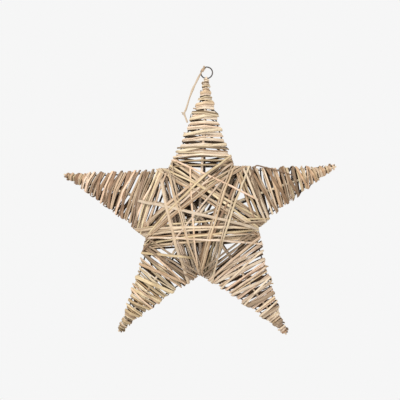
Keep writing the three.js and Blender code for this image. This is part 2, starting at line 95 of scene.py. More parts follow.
STRAND_BENDS = [(-13, -2.2, -16), (-20.1, -0.8, -30.9), (-31.5, 0.4, -63.5), (-33.7, 0, -68.1)]
HUB_FLAT = 8
RIDGE_PRESSED = 78
TAIL_GAP = 3
PITCH_BASE = 8.8
PITCH_TIP = 5.9
CROSS_PITCH_BASE = 22
CROSS_PITCH_TIP = 14
PLACE_JITTER = 0.5
WIND_CLEAR = 4
LEAST_TURNS = 2
LAYERS = [dict(slots=5, first=4.2, step=4.2), dict(slots=4, first=6.4, step=4.5)]
# Runs of body strips: notches passed, side of the notch they start on, and the slot they end in
FRONT_RUNS = [
    [(2, 1, 2), (2, 1, 0), (2, 1, 3), (2, 1, 1), (1, 1, 4)],
    [(2, 0, 1), (2, 0, 0), (2, 1, 3), (2, 1, 2)],
]
BACK_RUNS = [
    [(2, 1, 1), (1, 1, 3), (2, 1, 0), (1, 1, 4), (2, 1, 2)],
    [(2, 0, 0), (2, 0, 1), (2, 1, 2), (2, 1, 3)],
]
CHORDS_PER_STRAND = 6
SAMPLE_STEP = 0.75
LAY_PASSES = 4
MOST_SLOPE = 1.5
SIDE_MARGIN = 0.5
HULL_SLACK = 0.8
LEAST_TURN = 0.02
WIRE_CLEAR = 1.05
LEAST_LEAN = 0.4

Y_AXIS = Vector((0, 1, 0))
SLOTS_OF = {row["node"]: row["material_slot"] for row in frame["record"]["subparts"]}


def make_dice(seed):
    """The same run of numbers as the frame's own, between 0 and 1."""
    state = [seed]

    def roll():
        state[0] = (state[0] * 16807) % 2147483647
        return state[0] / 2147483647

    return roll


dice = make_dice(4127)


def polar(angle):
    return Vector((math.cos(angle * DEGREE), 0, math.sin(angle * DEGREE)))


# Arms and notches
for index, arm in enumerate(ARMS):
    arm["index"] = index
    arm["along"] = polar(arm["angle"])
    arm["across"] = Vector((arm["along"].z, 0, -arm["along"].x))
    arm["apex"] *= STAR_RADIUS
    arm["reach"] += arm["apex"]
    arm["wound"] += arm["apex"]
CENTRE = Vector((TIP_ASIDE, 0, -TIP_DROP)) - ARMS[0]["along"] * ARMS[0]["reach"]
NOTCH_POINTS = [CENTRE + polar(angle) * radius * STAR_RADIUS for angle, radius in NOTCHES]


def arm_point(arm, along, across, depth):
    return CENTRE + arm["along"] * along + arm["across"] * across + Y_AXIS * depth


for arm in ARMS:
    tip = arm_point(arm, arm["apex"], 0, 0)
    arm["edges"] = {}
    for side in (1, -1):
        notch = NOTCH_POINTS[arm["index"] if side == 1 else arm["index"] - 1]
        offset = notch - CENTRE
        direction = (tip - notch).normalized()
        outward = direction.cross(Y_AXIS).normalized()
        if outward.dot(arm["across"]) * side < 0:
            outward.negate()
        arm["edges"][side] = dict(
            direction=direction,
            outward=outward,
            base_along=offset.dot(arm["along"]),
            base_across=offset.dot(arm["across"]),
            flare=outward.dot(arm["across"]) * side,
        )


def edge_across(arm, side, along):
    edge = arm["edges"][side]
    share = (arm["apex"] - along) / (arm["apex"] - edge["base_along"])
    return side * max(abs(edge["base_across"]) * share, TIP_HALF_WIDTH)


def ridge_height(arm, along):
    return max(HUB_HEIGHT * (1 - along / arm["apex"]), 0) + TIP_HEIGHT


def ridge_strip_width(arm, along):
    share = min(max(along, 0) / arm["apex"], 1)
    return RIDGE_STRIP_WIDTH + (RIDGE_STRIP_TIP_WIDTH - RIDGE_STRIP_WIDTH) * share


STRIP_RISE = RIDGE_WIRE_R + TOUCH_GAP + RIDGE_STRIP_THICK / 2
EDGE_RISE = EDGE_WIRE_R + TOUCH_GAP + WINDING_THICK / 2
RIDGE_RISE = STRIP_RISE + RIDGE_STRIP_THICK / 2 + RIDGE_GAP


# Ribbons: a ribbon is a list of stations (point, fold, width, thickness), each a bend of the strip
RIGHT_HALF = [(0.82, -0.5), (1, -0.15), (0.86, 0.22), (0.45, 0.46)]
LEFT_HALF = [(-x, y) for x, y in reversed(RIGHT_HALF)]
PROFILE = LEFT_HALF[2:] + RIGHT_HALF + LEFT_HALF[:2]
ROUND_SIDES = 8
ROUND_TURN = 2 * math.pi / ROUND_SIDES
ROUND_PROFILE = [(math.cos(k * ROUND_TURN), math.sin(k * ROUND_TURN) / 2) for k in range(ROUND_SIDES)]
BEND_RADIUS = 2.6
BEND_STEPS = 4
BEND_TURN = 0.22
MOST_CUT = 0.45
STEP = 5.0
INNER_BELOW = -0.3
FLIPPED = 0.9
# How fast the waver changes along a strip, and where in the noise each strip and each effect is read
WAVER_RATE = 0.05
WIDTH_RATE = 1.7
SEEDS = 40
SEED_STEP = 7.31
NOISE_PLANE = 0.37
SHIFT_PLACE = Vector((3.1, 0, 5.2))
WIDTH_PLACE = Vector((0, 9.2, 1.1))


def rounded(points, values):
    """Rounds a path's corners. Each point carries values that are mixed along with it."""
    out = [(points[0], values[0])]
    for i in range(1, len(points) - 1):
        before, here, after = points[i - 1], points[i], points[i + 1]
        back, ahead = before - here, after - here
        cut = min(BEND_RADIUS, back.length * MOST_CUT, ahead.length * MOST_CUT)
        turn = math.pi - back.angle(ahead, 0)
        steps = max(1, min(BEND_STEPS, round(turn / BEND_TURN)))
        start, end = here + back.normalized() * cut, here + ahead.normalized() * cut
        for k in range(steps + 1):
            t = k / steps
            point = start.lerp(here, t).lerp(here.lerp(end, t), t)
            share = (t - 0.5) * cut
            side = points[i + 1] if share > 0 else points[i - 1]
            other = values[i + 1] if share > 0 else values[i - 1]
            amount = abs(share) / max((side - here).length, 1e-6)
            out.append((point, mixed(values[i], other, amount)))
    out.append((points[-1], values[-1]))
    return out


def between(x, y, amount):
    return x.lerp(y, amount) if isinstance(x, Vector) else x + (y - x) * amount


def mixed(a, b, amount):
    return tuple(between(x, y, amount) for x, y in zip(a, b))


def refined(path, step):
    """Adds places on the long stretches, so that a ribbon can waver there."""
    out = [path[0]]
    for (a, va), (b, vb) in zip(path, path[1:]):
        length = (b - a).length
        count = max(1, round(length / step))
        for k in range(1, count + 1):
            out.append((a.lerp(b, k / count), mixed(va, vb, k / count)))
    return out


class Ribbons:
    """One mesh of many ribbons, with its layers.

    They hold the place across and along a strip, its tone and hue, and which side of it is the inner one, the
    side that the material darkens as painted shade.
    """

    def __init__(self, name):
        self.name = name
        self.verts, self.faces = [], []
        self.uvs, self.tones, self.hues, self.inner = [], [], [], []

    def add(
        self, stations, waver=0.35, twist=5.0, ragged=0.08, profile=PROFILE, smooth=True, shade=(0.0, 1.0)
    ):
        """Adds one ribbon. The profile's top faces away from the frame.

        waver: how far it strays sideways, in millimetres. twist: in degrees. ragged: share of its width.
        shade: the darkest and the lightest tone that the strip may get; the lower strips get a darker range
        as painted shade and the front strips a lighter one as painted light.
        """
        tone, hue, seed = draws.uniform(*shade), draws.random(), draws.random() * SEEDS
        points = [s[0] for s in stations]
        values = [tuple(s[1:]) for s in stations]
        path = rounded(points, values) if smooth else list(zip(points, values))
        path = refined(path, STEP)
        gone = 0.0
        base = len(self.verts)
        count = len(profile)
        last = len(path) - 1
        normal = None
        for i, (point, (fold, width, thick)) in enumerate(path):
            before = path[max(i - 1, 0)][0]
            after = path[min(i + 1, last)][0]
            travel = (after - before).normalized()
            across = (fold - travel * fold.dot(travel))
            across.normalize()
            up = travel.cross(across).normalized()
            if normal is not None and up.dot(normal) < -FLIPPED:
                across, up = -across, -up
            normal = up
            if i:
                gone += (point - before).length
            place = Vector((gone * WAVER_RATE, seed * SEED_STEP, NOISE_PLANE))
            roll = noise.noise(place) * twist * DEGREE * 2
            level = across
            across = level * math.cos(roll) + up * math.sin(roll)
            up = up * math.cos(roll) - level * math.sin(roll)
            shift = across * noise.noise(place + SHIFT_PLACE) * waver * 2
            wide = width / 2 * (1 + noise.noise(place * WIDTH_RATE + WIDTH_PLACE) * ragged * 2)
            for a, b in profile:
                self.verts.append((point + shift + across * a * wide + up * b * thick) * MM)
                self.uvs.append((a * wide * MM, gone * MM))
                self.tones.append(tone)
                self.hues.append(hue)
                # The inner side is marked for the material's painted shade
                self.inner.append(1.0 if b < INNER_BELOW and profile is PROFILE else 0.0)
            if i:
                here = base + i * count
                for c in range(count):
                    d = (c + 1) % count
                    self.faces.append((here - count + c, here - count + d, here + d, here + c))
        self.faces.append(tuple(base + c for c in range(count))[::-1])
        self.faces.append(tuple(base + last * count + c for c in range(count)))

    def build(self, slot, *nodes):
        mesh = bpy.data.meshes.new(self.name)
        mesh.from_pydata(self.verts, [], self.faces)
        mesh.validate()
        work = bmesh.new()
        work.from_mesh(mesh)
        bmesh.ops.recalc_face_normals(work, faces=work.faces)
        work.to_mesh(mesh)
        work.free()
        layer = mesh.uv_layers.new(name="strip")
        for loop in mesh.loops:
            layer.data[loop.index].uv = self.uvs[loop.vertex_index]
        for name, values in (("tone", self.tones), ("hue", self.hues), ("inner", self.inner)):
            attribute = mesh.attributes.new(name, "FLOAT", "POINT")
            attribute.data.foreach_set("value", values)
        mesh.shade_smooth()
        obj = bpy.data.objects.new(self.name, mesh)
        bpy.context.scene.collection.objects.link(obj)
        mesh.materials.append(MATERIALS[slot])
        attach(obj, "root")
        if nodes:
            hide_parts(*nodes)
        return obj


# Materials
def new_material(name):
    material = bpy.data.materials.new(name)
    material.use_nodes = True
    nodes, links = material.node_tree.nodes, material.node_tree.links
    nodes.clear()
    output = nodes.new("ShaderNodeOutputMaterial")
    shader = nodes.new("ShaderNodeBsdfPrincipled")
    links.new(shader.outputs["BSDF"], output.inputs["Surface"])
    return material, nodes, links, shader


def ramp(nodes, links, factor, stops):
    node = nodes.new("ShaderNodeValToRGB")
    band = node.color_ramp
    while len(band.elements) < len(stops):
        band.elements.new(0.5)
    for element, (place, colour) in zip(band.elements, stops):
        element.position = place
        element.color = (*colour, 1)
    links.new(factor, node.inputs[0])
    return node


def blended(nodes, links, kind, factor, first, second):
    node = nodes.new("ShaderNodeMix")
    node.data_type = "RGBA"
    node.blend_type = kind
    for socket, value in ((node.inputs["Factor"], factor), (node.inputs[6], first), (node.inputs[7], second)):
        if isinstance(value, bpy.types.NodeSocket):
            links.new(value, socket)
        else:
            socket.default_value = value
    return node.outputs[2]


# A strip's hue picks one of these: plain, rosy, pale, olive, warm brown, greyish
TINTS = [
    (0.0, (1.0, 1.0, 1.0)),
    (0.34, (1.0, 0.92, 0.88)),
    (0.50, (1.0, 0.99, 0.96)),
    (0.66, (0.97, 0.96, 0.82)),
    (0.76, (0.80, 0.70, 0.61)),
    (0.88, (0.84, 0.83, 0.82)),
]
# Where a strip's tone turns from dark to tan to light, and how much brighter than light the palest is
TAN_AT = 0.28
LIGHT_AT = 0.66
PALEST = 1.18
# Noise in a strip's own directions: scale across and along it per metre, detail and roughness
FIBRES = (2600, 55, 4.0, 0.65)
BANDS = (700, 22, 3.0, 0.55)
PATCHES = (120, 40, 3.0, 0.6)
SPECKS = (900, 420, 2.0, 0.5)
TONE_DRIFT = 91.7
# What each noise multiplies the colour by, and how strongly
FIBRE_SHADE = [(0.30, (0.46, 0.40, 0.34)), (0.50, (0.86, 0.84, 0.82)), (0.68, (1.0, 1.0, 1.0))]
FIBRE_WEIGHT = 0.75
BAND_SHADE = [(0.28, (0.60, 0.50, 0.42)), (0.50, (0.93, 0.90, 0.86)), (0.72, (1.0, 1.0, 1.0))]
BAND_WEIGHT = 0.7
PATCH_SHADE = [(0.30, (0.72, 0.62, 0.50)), (0.52, (1.0, 0.97, 0.94)), (0.75, (1.0, 1.0, 1.0))]
PATCH_WEIGHT = 0.8
SPECK_MASK = [(0.66, (0, 0, 0)), (0.74, (1, 1, 1))]
SPECK_TINT = (0.6, 0.55, 0.5)
# Painted shade: a strip's inner side, facing the frame, is darkened as if it lay in shadow
INNER_PAINTED_SHADE = [(0.0, (1, 1, 1)), (1.0, (0.24, 0.20, 0.17))]
WILLOW_ROUGH = (0.48, 0.82)
WILLOW_BUMP = (0.55, 0.0003)
WILLOW_SHINE = 0.28
WIRE_NOISE = (900, 4)
WIRE_SHADE = [(0.30, (0.035, 0.032, 0.030)), (0.55, (0.075, 0.068, 0.062)), (0.78, (0.16, 0.115, 0.085))]
WIRE_METAL = 0.65
WIRE_ROUGH = (0.34, 0.62)
WIRE_BUMP = (0.35, 0.0002)


def add_noise(nodes, links, places, scale, detail, roughness=0.5):
    node = nodes.new("ShaderNodeTexNoise")
    for socket, value in (("Scale", scale), ("Detail", detail), ("Roughness", roughness)):
        node.inputs[socket].default_value = value
    links.new(places, node.inputs["Vector"])
    return node.outputs["Fac"]


def add_finish(nodes, links, shader, texture, limits, height, bumps):
    """Roughness between two limits by a texture, and bumps of a strength and a distance by a height."""
    rough = nodes.new("ShaderNodeMapRange")
    rough.inputs["To Min"].default_value, rough.inputs["To Max"].default_value = limits
    links.new(texture, rough.inputs["Value"])
    links.new(rough.outputs["Result"], shader.inputs["Roughness"])
    bump = nodes.new("ShaderNodeBump")
    bump.inputs["Strength"].default_value, bump.inputs["Distance"].default_value = bumps
    links.new(height, bump.inputs["Height"])
    links.new(bump.outputs["Normal"], shader.inputs["Normal"])


def willow(name, light, tan, dark):
    """Split willow: long fine fibres, a tone for each strip, brown specks, and painted shade on each strip's
    inner side.
    """
    material, nodes, links, shader = new_material(name)
    uv = nodes.new("ShaderNodeUVMap")
    uv.uv_map = "strip"
    split = nodes.new("ShaderNodeSeparateXYZ")
    links.new(uv.outputs["UV"], split.inputs[0])

    def strip_value(attribute_name):
        node = nodes.new("ShaderNodeAttribute")
        node.attribute_name = attribute_name
        return node.outputs["Fac"]

    def worked_out(operation, first, second):
        node = nodes.new("ShaderNodeMath")
        node.operation = operation
        links.new(first, node.inputs[0])
        if isinstance(second, bpy.types.NodeSocket):
            links.new(second, node.inputs[1])
        else:
            node.inputs[1].default_value = second
        return node.outputs[0]

    tone = strip_value("tone")

    def streaks(across, along, detail, roughness):
        places = nodes.new("ShaderNodeCombineXYZ")
        links.new(worked_out("MULTIPLY", split.outputs["X"], across), places.inputs[0])
        links.new(worked_out("MULTIPLY", split.outputs["Y"], along), places.inputs[1])
        links.new(worked_out("MULTIPLY", tone, TONE_DRIFT), places.inputs[2])
        return add_noise(nodes, links, places.outputs[0], 1.0, detail, roughness)

    def shaded(colour, texture, stops, weight):
        shade = ramp(nodes, links, texture, stops)
        return blended(nodes, links, "MULTIPLY", weight, colour, shade.outputs[0])

    fibres = streaks(*FIBRES)
    bands = streaks(*BANDS)
    patches = streaks(*PATCHES)
    specks = streaks(*SPECKS)
    palest = tuple(min(1, c * PALEST) for c in light)
    by_tone = ramp(nodes, links, tone, [(0.0, dark), (TAN_AT, tan), (LIGHT_AT, light), (1.0, palest)])
    tint = ramp(nodes, links, strip_value("hue"), TINTS)
    tint.color_ramp.interpolation = "CONSTANT"
    colour = blended(nodes, links, "MULTIPLY", 1.0, by_tone.outputs[0], tint.outputs[0])
    colour = shaded(colour, fibres, FIBRE_SHADE, FIBRE_WEIGHT)
    colour = shaded(colour, bands, BAND_SHADE, BAND_WEIGHT)
    colour = shaded(colour, patches, PATCH_SHADE, PATCH_WEIGHT)
    speck_mask = ramp(nodes, links, specks, SPECK_MASK)
    speck_colour = (*(c * share for c, share in zip(dark, SPECK_TINT)), 1)
    colour = blended(nodes, links, "MIX", speck_mask.outputs[0], colour, speck_colour)
    # Painted shade on the strip's inner side, which faces the frame
    colour = shaded(colour, strip_value("inner"), INNER_PAINTED_SHADE, 1.0)
    links.new(colour, shader.inputs["Base Color"])
    height = worked_out("ADD", fibres, bands)
    add_finish(nodes, links, shader, bands, WILLOW_ROUGH, height, WILLOW_BUMP)
    shader.inputs["Specular IOR Level"].default_value = WILLOW_SHINE
    return material


def dark_wire():
    """Annealed wire: dark brown-grey, slightly shiny, with faint scale and rust."""
    material, nodes, links, shader = new_material("dark_wire")
    place = nodes.new("ShaderNodeTexCoord")
    texture = add_noise(nodes, links, place.outputs["Object"], *WIRE_NOISE)
    shade = ramp(nodes, links, texture, WIRE_SHADE)
    links.new(shade.outputs[0], shader.inputs["Base Color"])
    shader.inputs["Metallic"].default_value = WIRE_METAL
    add_finish(nodes, links, shader, texture, WIRE_ROUGH, texture, WIRE_BUMP)
    return material


# Each willow's light, tan and dark
WILLOWS = {
    "willow_light": ((0.74, 0.645, 0.52), (0.57, 0.465, 0.345), (0.27, 0.195, 0.13)),
    "willow_tan": ((0.71, 0.60, 0.46), (0.54, 0.43, 0.31), (0.25, 0.175, 0.115)),
    "willow_rose": ((0.75, 0.625, 0.505), (0.58, 0.455, 0.35), (0.28, 0.195, 0.135)),
    "willow_olive": ((0.70, 0.61, 0.45), (0.53, 0.44, 0.295), (0.24, 0.18, 0.11)),
    "willow_brown": ((0.66, 0.535, 0.40), (0.49, 0.375, 0.26), (0.22, 0.155, 0.10)),
}
MATERIALS = {name: willow(name, *colours) for name, colours in WILLOWS.items()}
MATERIALS["dark_wire"] = dark_wire()
SEED = 2611
draws = random.Random(SEED)


SLOPE_PASSES = 4


def face_shape(arm, along, lift):
    """The ridge and edge heights that a winding runs over, as in the frame."""
    half = (edge_across(arm, 1, along) - edge_across(arm, -1, along)) / 2
    edge_rise = EDGE_RISE + lift
    strip_half = ridge_strip_width(arm, along) / 2
    slope = math.atan2(ridge_height(arm, along), half)
    ridge = edge = 0
    for _ in range(SLOPE_PASSES):
        above = RIDGE_RISE + strip_half * math.tan(slope) + (WINDING_THICK / 2 + lift) / math.cos(slope)
        ridge = ridge_height(arm, along) + above
        edge = (edge_rise * (1 - math.sin(slope))) / math.cos(slope)
        slope = math.atan2(ridge - edge, half + edge_rise)
    return ridge, edge, edge_rise


def corner_point(arm, corner, along, lift):
    side, depth = corner
    ridge, edge, edge_rise = face_shape(arm, along, lift)
    if side == 0:
        return arm_point(arm, along, 0, depth * ridge)
    beyond = side * edge_rise / arm["edges"][side]["flare"]
    return arm_point(arm, along, edge_across(arm, side, along) + beyond, depth * edge)


# Corners of one turn, by side and depth, and how much of the turn's slant is gone there
CORNERS = [((-1, -1), 0), ((0, -1), 0.5), ((1, -1), 1), ((1, 1), 1), ((0, 1), 1.5), ((-1, 1), 2)]


def turn_stations(arm, lift, place, lean, pitch, width, thick, limit):
    """The bends of one turn of a winding."""
    out = []
    for corner, share in CORNERS:
        front, back = min(share, 1), max(share - 1, 0)
        at = min(place + lean * front + (pitch - lean) * back, limit)
        point = corner_point(arm, corner, at, lift)
        fold = (corner_point(arm, corner, at + 1, lift) - point).normalized()
        out.append((point, fold, width, thick))
    return out


def mix(ends, share):
    return ends[0] + (ends[1] - ends[0]) * share


def frame_jitter():
    return (dice() * 2 - 1) * PLACE_JITTER


# Turns that one strip lasts, its share of the named width, and how it may be split lengthwise
STRIP_TURNS = (1, 4)
FIRST_WIDTH = (0.82, 1.08)
NEXT_WIDTH = (0.72, 1.08)
SPLIT_SHARE = 0.6
SPLIT_ASIDE = 0.26
SPLIT_WIDTH = (0.4, 0.5)


def split_strip(stations, side):
    """One half of a strip that is split along its length."""
    out = []
    for point, fold, width, thick in stations:
        aside = fold * side * width * SPLIT_ASIDE
        out.append((point + aside, fold, width * draws.uniform(*SPLIT_WIDTH), thick))
    return out


def wind(
    ribbons, arm, lift, start, end, slants, pitches, width=WINDING_WIDTH, thick=WINDING_THICK, loose=None
):
    """Winds strips round an arm. Every few turns a new strip takes over, with its own look and width.

    loose: how far a place and a slant may stray, for the windings that the frame doesn't have.
    A strip of the frame's own may be split along its length into two.
    """
    mean_pitch = (pitches[0] + pitches[1]) / 2
    turns = max(math.floor((end - start) / mean_pitch), LEAST_TURNS)
    stretch = (end - start) / (turns * mean_pitch)
    along = start
    stations, left = [], draws.randint(*STRIP_TURNS)
    own_width = width * draws.uniform(*FIRST_WIDTH)
    split = not loose and lift == 0
    for turn in range(turns):
        share = turn / (turns - 1)
        pitch = mix(pitches, share) * stretch
        slant = mix(slants, share)
        if loose:
            place = along + draws.uniform(-1, 1) * loose[0]
            slant += draws.uniform(-1, 1) * loose[1]
        else:
            place = along + frame_jitter()
        wide = edge_across(arm, 1, along) - edge_across(arm, -1, along)
        lean = math.tan(slant * DEGREE) * wide
        stations += turn_stations(arm, lift, place, lean, pitch, own_width, thick, end)
        along += pitch
        left -= 1
        if left == 0 or turn == turns - 1:
            if split and draws.random() < SPLIT_SHARE:
                for side in (-1, 1):
                    ribbons.add(split_strip(stations, side))
            else:
                ribbons.add(stations)
            stations = stations[-1:]
            left = draws.randint(*STRIP_TURNS)
            own_width = width * draws.uniform(*NEXT_WIDTH)


def winding_start(arm, slant):
    last_slot = max(layer["first"] + layer["step"] * (layer["slots"] - 1) for layer in LAYERS)
    base = max(arm["edges"][1]["base_along"], arm["edges"][-1]["base_along"]) + last_slot + WIND_CLEAR
    wide = edge_across(arm, 1, base) - edge_across(arm, -1, base)
    return base + max(-math.tan(slant * DEGREE) * wide, 0)


CROSSING_LIFT = WINDING_THICK + LAYER_GAP
# Fine windings between the frame's two layers, over both of them, and close together round the tip
FILL_THICK = 0.8
FILL_LIFT = WINDING_THICK / 2 + LAYER_GAP / 2
OVER_LIFT = CROSSING_LIFT + WINDING_THICK / 2 + 0.5
# How closely each arm is wound
COVER = {"top": 0.5, "right": 0.85, "lower_right": 0.9, "lower_left": 0.85, "left": 1.25}
# Millimetres from the arm's base and from where it is wound to, pitches at cover 1, width, and straying
NEAR = dict(after=0, before=6, pitches=(9.5, 6.5), width=2.9, loose=(2.4, 6))
FINE = dict(after=3, before=8, pitches=(15, 10), width=2.1, loose=(3, 8))
AGAINST = dict(after=7, before=14, pitches=(34, 22), width=3.2, loose=(3, 6))
OUTERMOST = dict(after=12, before=10, pitches=(28, 17), width=2.6, loose=(4, 8))
FINE_SLANT = 5
AGAINST_SHARES = (0.9, 1.1)
# Round the tip: two crossed windings, a close one, and one out to the tip's end
TIP_STRETCH = 26
TIP_CLOSE = 3.1
TIP_EASES = 0.6
TIP_CROSSED = dict(lift=FILL_LIFT * 1.6, pitches=(8.5, 5.5), thick=FILL_THICK, loose=(1.0, 3))
TIP_PAIR = [(12, 2.4), (-9, 2.1)]
TIP_SNUG = dict(lift=FILL_LIFT * 0.6, pitches=(5.2, TIP_CLOSE), width=2.4, thick=FILL_THICK, loose=(0.8, 6))
TIP_END = dict(lift=-0.2, slants=(9, -9), pitches=(TIP_CLOSE, 2.2), width=2.5, thick=1.0, loose=(0.4, 8))
END_BACK = 2
END_SHORT = 1.2


def wind_fine(ribbons, arm, lift, slants, after, before, pitches, width, loose):
    start = winding_start(arm, 0) - WIND_CLEAR + after
    pitches = tuple(pitch / COVER[arm["name"]] for pitch in pitches)
    wind(ribbons, arm, lift, start, arm["wound"] - before, slants, pitches, width, FILL_THICK, loose)


def wind_tip(main, over, arm):
    wound = arm["wound"]
    stretch = dict(start=wound - TIP_STRETCH, end=wound)
    for slant, width in TIP_PAIR:
        wind(over, arm, slants=(slant, slant * TIP_EASES), width=width, **stretch, **TIP_CROSSED)
    wind(main, arm, slants=arm["slants"], **stretch, **TIP_SNUG)
    wind(main, arm, start=wound - END_BACK, end=arm["reach"] - END_SHORT, **TIP_END)


for arm in ARMS:
    name, wound, outer, crossing = arm["name"], arm["wound"], arm["slants"], arm["crossing"]
    main = Ribbons(f"wound_strips_{name}")
    wind(main, arm, 0, winding_start(arm, outer[0]), wound, outer, (PITCH_BASE, PITCH_TIP))
    over = Ribbons(f"crossing_strips_{name}")
    flat, pitches = (crossing, crossing), (CROSS_PITCH_BASE, CROSS_PITCH_TIP)
    wind(over, arm, CROSSING_LIFT, winding_start(arm, crossing), wound, flat, pitches)

    against = (-crossing * AGAINST_SHARES[0], -crossing * AGAINST_SHARES[1])
    wind_fine(main, arm, FILL_LIFT, outer, **NEAR)
    wind_fine(main, arm, FILL_LIFT, (outer[0] + FINE_SLANT, outer[1] + FINE_SLANT), **FINE)
    wind_fine(over, arm, OVER_LIFT, against, **AGAINST)
    wind_fine(over, arm, OVER_LIFT, outer, **OUTERMOST)
    wind_tip(main, over, arm)
    main.build(SLOTS_OF[f"winding_{name}"], f"winding_{name}")
    over.build(SLOTS_OF[f"crossing_{name}"], f"crossing_{name}")


# Body strips
# A slot is a place where a strip turns round an edge wire, or where its tucked end lies
Slot = namedtuple("Slot", "turn rise direction outward width")
slots = {}
for level, layer in enumerate(LAYERS):
    rise = EDGE_WIRE_R + TOUCH_GAP + BODY_THICK / 2 + level * (BODY_THICK + WRAP_GAP)
    for notch, point in enumerate(NOTCH_POINTS):
        for side in (0, 1):
            arm = ARMS[(notch + side) % len(ARMS)]
            edge = arm["edges"][1 if side == 0 else -1]
            for i in range(layer["slots"]):
                wire = point + edge["direction"] * (layer["first"] + layer["step"] * i)
                width = BODY_WIDTH_LEAST + dice() * (BODY_WIDTH_MOST - BODY_WIDTH_LEAST)
                turn = wire + edge["outward"] * rise
                slots[level, notch, side, i] = Slot(turn, rise, edge["direction"], edge["outward"], width)


class Chord:
    """One straight crossing of the body, with its height over the star's middle plane along it."""

    def __init__(self, start, end, width, heights=None, folds=None, length=None, direction=None):
        line = None if end is None else end.turn - start
        self.start = start
        self.length = length or line.length
        self.direction = direction or line.normalized()
        self.across = self.direction.cross(Y_AXIS)
        self.folds = folds or (self.across, self.across)
        self.width, self.heights = width, heights
        self.thick = RIDGE_STRIP_THICK if heights else BODY_THICK

    def fold_at(self, along):
        return self.folds[0].lerp(self.folds[1], along / self.length)

    def height_and_slope(self, along):
        for (a, low), (b, high) in zip(self.heights, self.heights[1:]):
            if along <= b:
                return low + (high - low) * (along - a) / (b - a), abs(high - low) / (b - a)
        return self.heights[-1][1], 0

    def pass_over(self, x, z):
        dx, dz = x - self.start.x, z - self.start.z
        place = dx * self.direction.x + dz * self.direction.z
        off = dx * self.across.x + dz * self.across.z
        if abs(off) > self.width:
            return None
        along, aside = place, off
        for _ in range(3):
            fold = self.fold_at(min(max(along, 0), self.length))
            aside = off / fold.dot(self.across)
            along = place - aside * fold.dot(self.direction)
        if abs(aside) > self.width / 2 + SIDE_MARGIN:
            return None
        if not -SIDE_MARGIN <= along <= self.length + SIDE_MARGIN:
            return None
        return self.height_and_slope(min(max(along, 0), self.length))


def make_chord(first, last):
    line = last.turn - first.turn
    across = line.normalized().cross(Y_AXIS)
    folds = []
    for end in (first, last):
        fold = end.direction if end.direction else across
        folds.append(fold * (-1 if fold.dot(across) < 0 else 1))
    chord = Chord(first.turn, last, (first.width + last.width) / 2, folds=folds)
    chord.first, chord.last = first, last
    return chord


def needed_height(chord, along, laid, slope):
    needed = 0
    fold = chord.fold_at(along)
    for share in (-1, -0.5, 0, 0.5, 1):
        aside = share * chord.width / 2
        x = chord.start.x + chord.direction.x * along + fold.x * aside
        z = chord.start.z + chord.direction.z * along + fold.z * aside
        for other in laid:
            under = other.pass_over(x, z)
            if under is None:
                continue
            steepest = min(max(slope, under[1]), MOST_SLOPE)
            apart = (other.thick + chord.thick) / 2 * math.hypot(1, steepest)
            needed = max(needed, under[0] + apart + TOUCH_GAP)
    return needed


def upper_hull(points):
    hull = []
    for point in points:
        while len(hull) > 1:
            (ax, ay), (bx, by) = hull[-2:]
            if (bx - ax) * (point[1] - ay) - (by - ay) * (point[0] - ax) < 0:
                break
            hull.pop()
        hull.append(point)
    return hull


def simplified(hull):
    kept = list(hull)
    while True:
        least, best = HULL_SLACK, None
        for i in range(1, len(kept) - 2):
            (ax, ay), (bx, by), (cx, cy), (dx, dy) = kept[i - 1 : i + 3]
            rising, falling = (by - ay) / (bx - ax), (dy - cy) / (dx - cx)
            if rising - falling < LEAST_TURN:
                continue
            x = (cy - by + rising * bx - falling * cx) / (rising - falling)
            y = by + rising * (x - bx)
            lift = y - (by + (cy - by) * (x - bx) / (cx - bx))
            if lift < least:
                least, best = lift, (i, (x, y))
        if best is None:
            return kept
        kept[best[0] : best[0] + 2] = [best[1]]


def lay_chord(chord, laid, step=SAMPLE_STEP, passes=LAY_PASSES):
    for _ in range(passes):
        points = []
        along = step
        while along < chord.length:
            slope = chord.height_and_slope(along)[1] if chord.heights else 0
            points.append((along, needed_height(chord, along, laid, slope)))
            along += step
        for place, end in ((0, chord.first), (chord.length, chord.last)):
            if end.outward is None:
                points.append((place, end.rise))
                continue
            points.append((place, end.rise * BEVEL))
            reach = end.rise / max(abs(end.outward.dot(chord.direction)), LEAST_LEAN)
            points.append((abs(place - reach), end.rise * WIRE_CLEAR))
        points.sort(key=lambda p: p[0])
        chord.heights = simplified(upper_hull(points))


def ridge_run(arm):
    top = ridge_height(arm, 0) + STRIP_RISE + arm["index"] * (RIDGE_STRIP_THICK + TOUCH_GAP)
    level = [(s, ridge_height(arm, s) + STRIP_RISE) for s in (RIDGE_PRESSED, arm["apex"])]
    angle, radius = NOTCHES[(arm["index"] + 2) % len(NOTCHES)]
    tail = [(HUB_FLAT, top), (radius * STAR_RADIUS - TAIL_GAP, EDGE_WIRE_R + TOUCH_GAP)]
    return top, [(HUB_FLAT, top), *level], tail, polar(angle)


def ridge_obstacles():
    out = []
    for arm in ARMS:
        top, run, tail, heading = ridge_run(arm)
        for direction, part in ((arm["along"], run), (heading, tail)):
            heights = [(0, top), *part]
            out.append(Chord(CENTRE, None, RIDGE_STRIP_WIDTH, heights, None, heights[-1][0], direction))
    return out


def lay_face(layers, face):
    laid = ridge_obstacles()
    chords = {}
    for level, runs in enumerate(layers):
        for i, (steps, side, order) in enumerate(runs):
            for notch in range(len(NOTCHES)):
                first = (level, notch, side, i)
                last = (level, (notch + steps) % len(NOTCHES), 1 - side, order)
                chord = make_chord(slots[first], slots[last])
                chord.face, chord.keys = face, (first, last)
                lay_chord(chord, laid)
                laid.append(chord)
                chords[first] = chords[last] = chord
    return chords, laid


front_chords, laid_front = lay_face(FRONT_RUNS, -1)
back_chords, laid_back = lay_face(BACK_RUNS, 1)
LAID = {-1: laid_front, 1: laid_back}


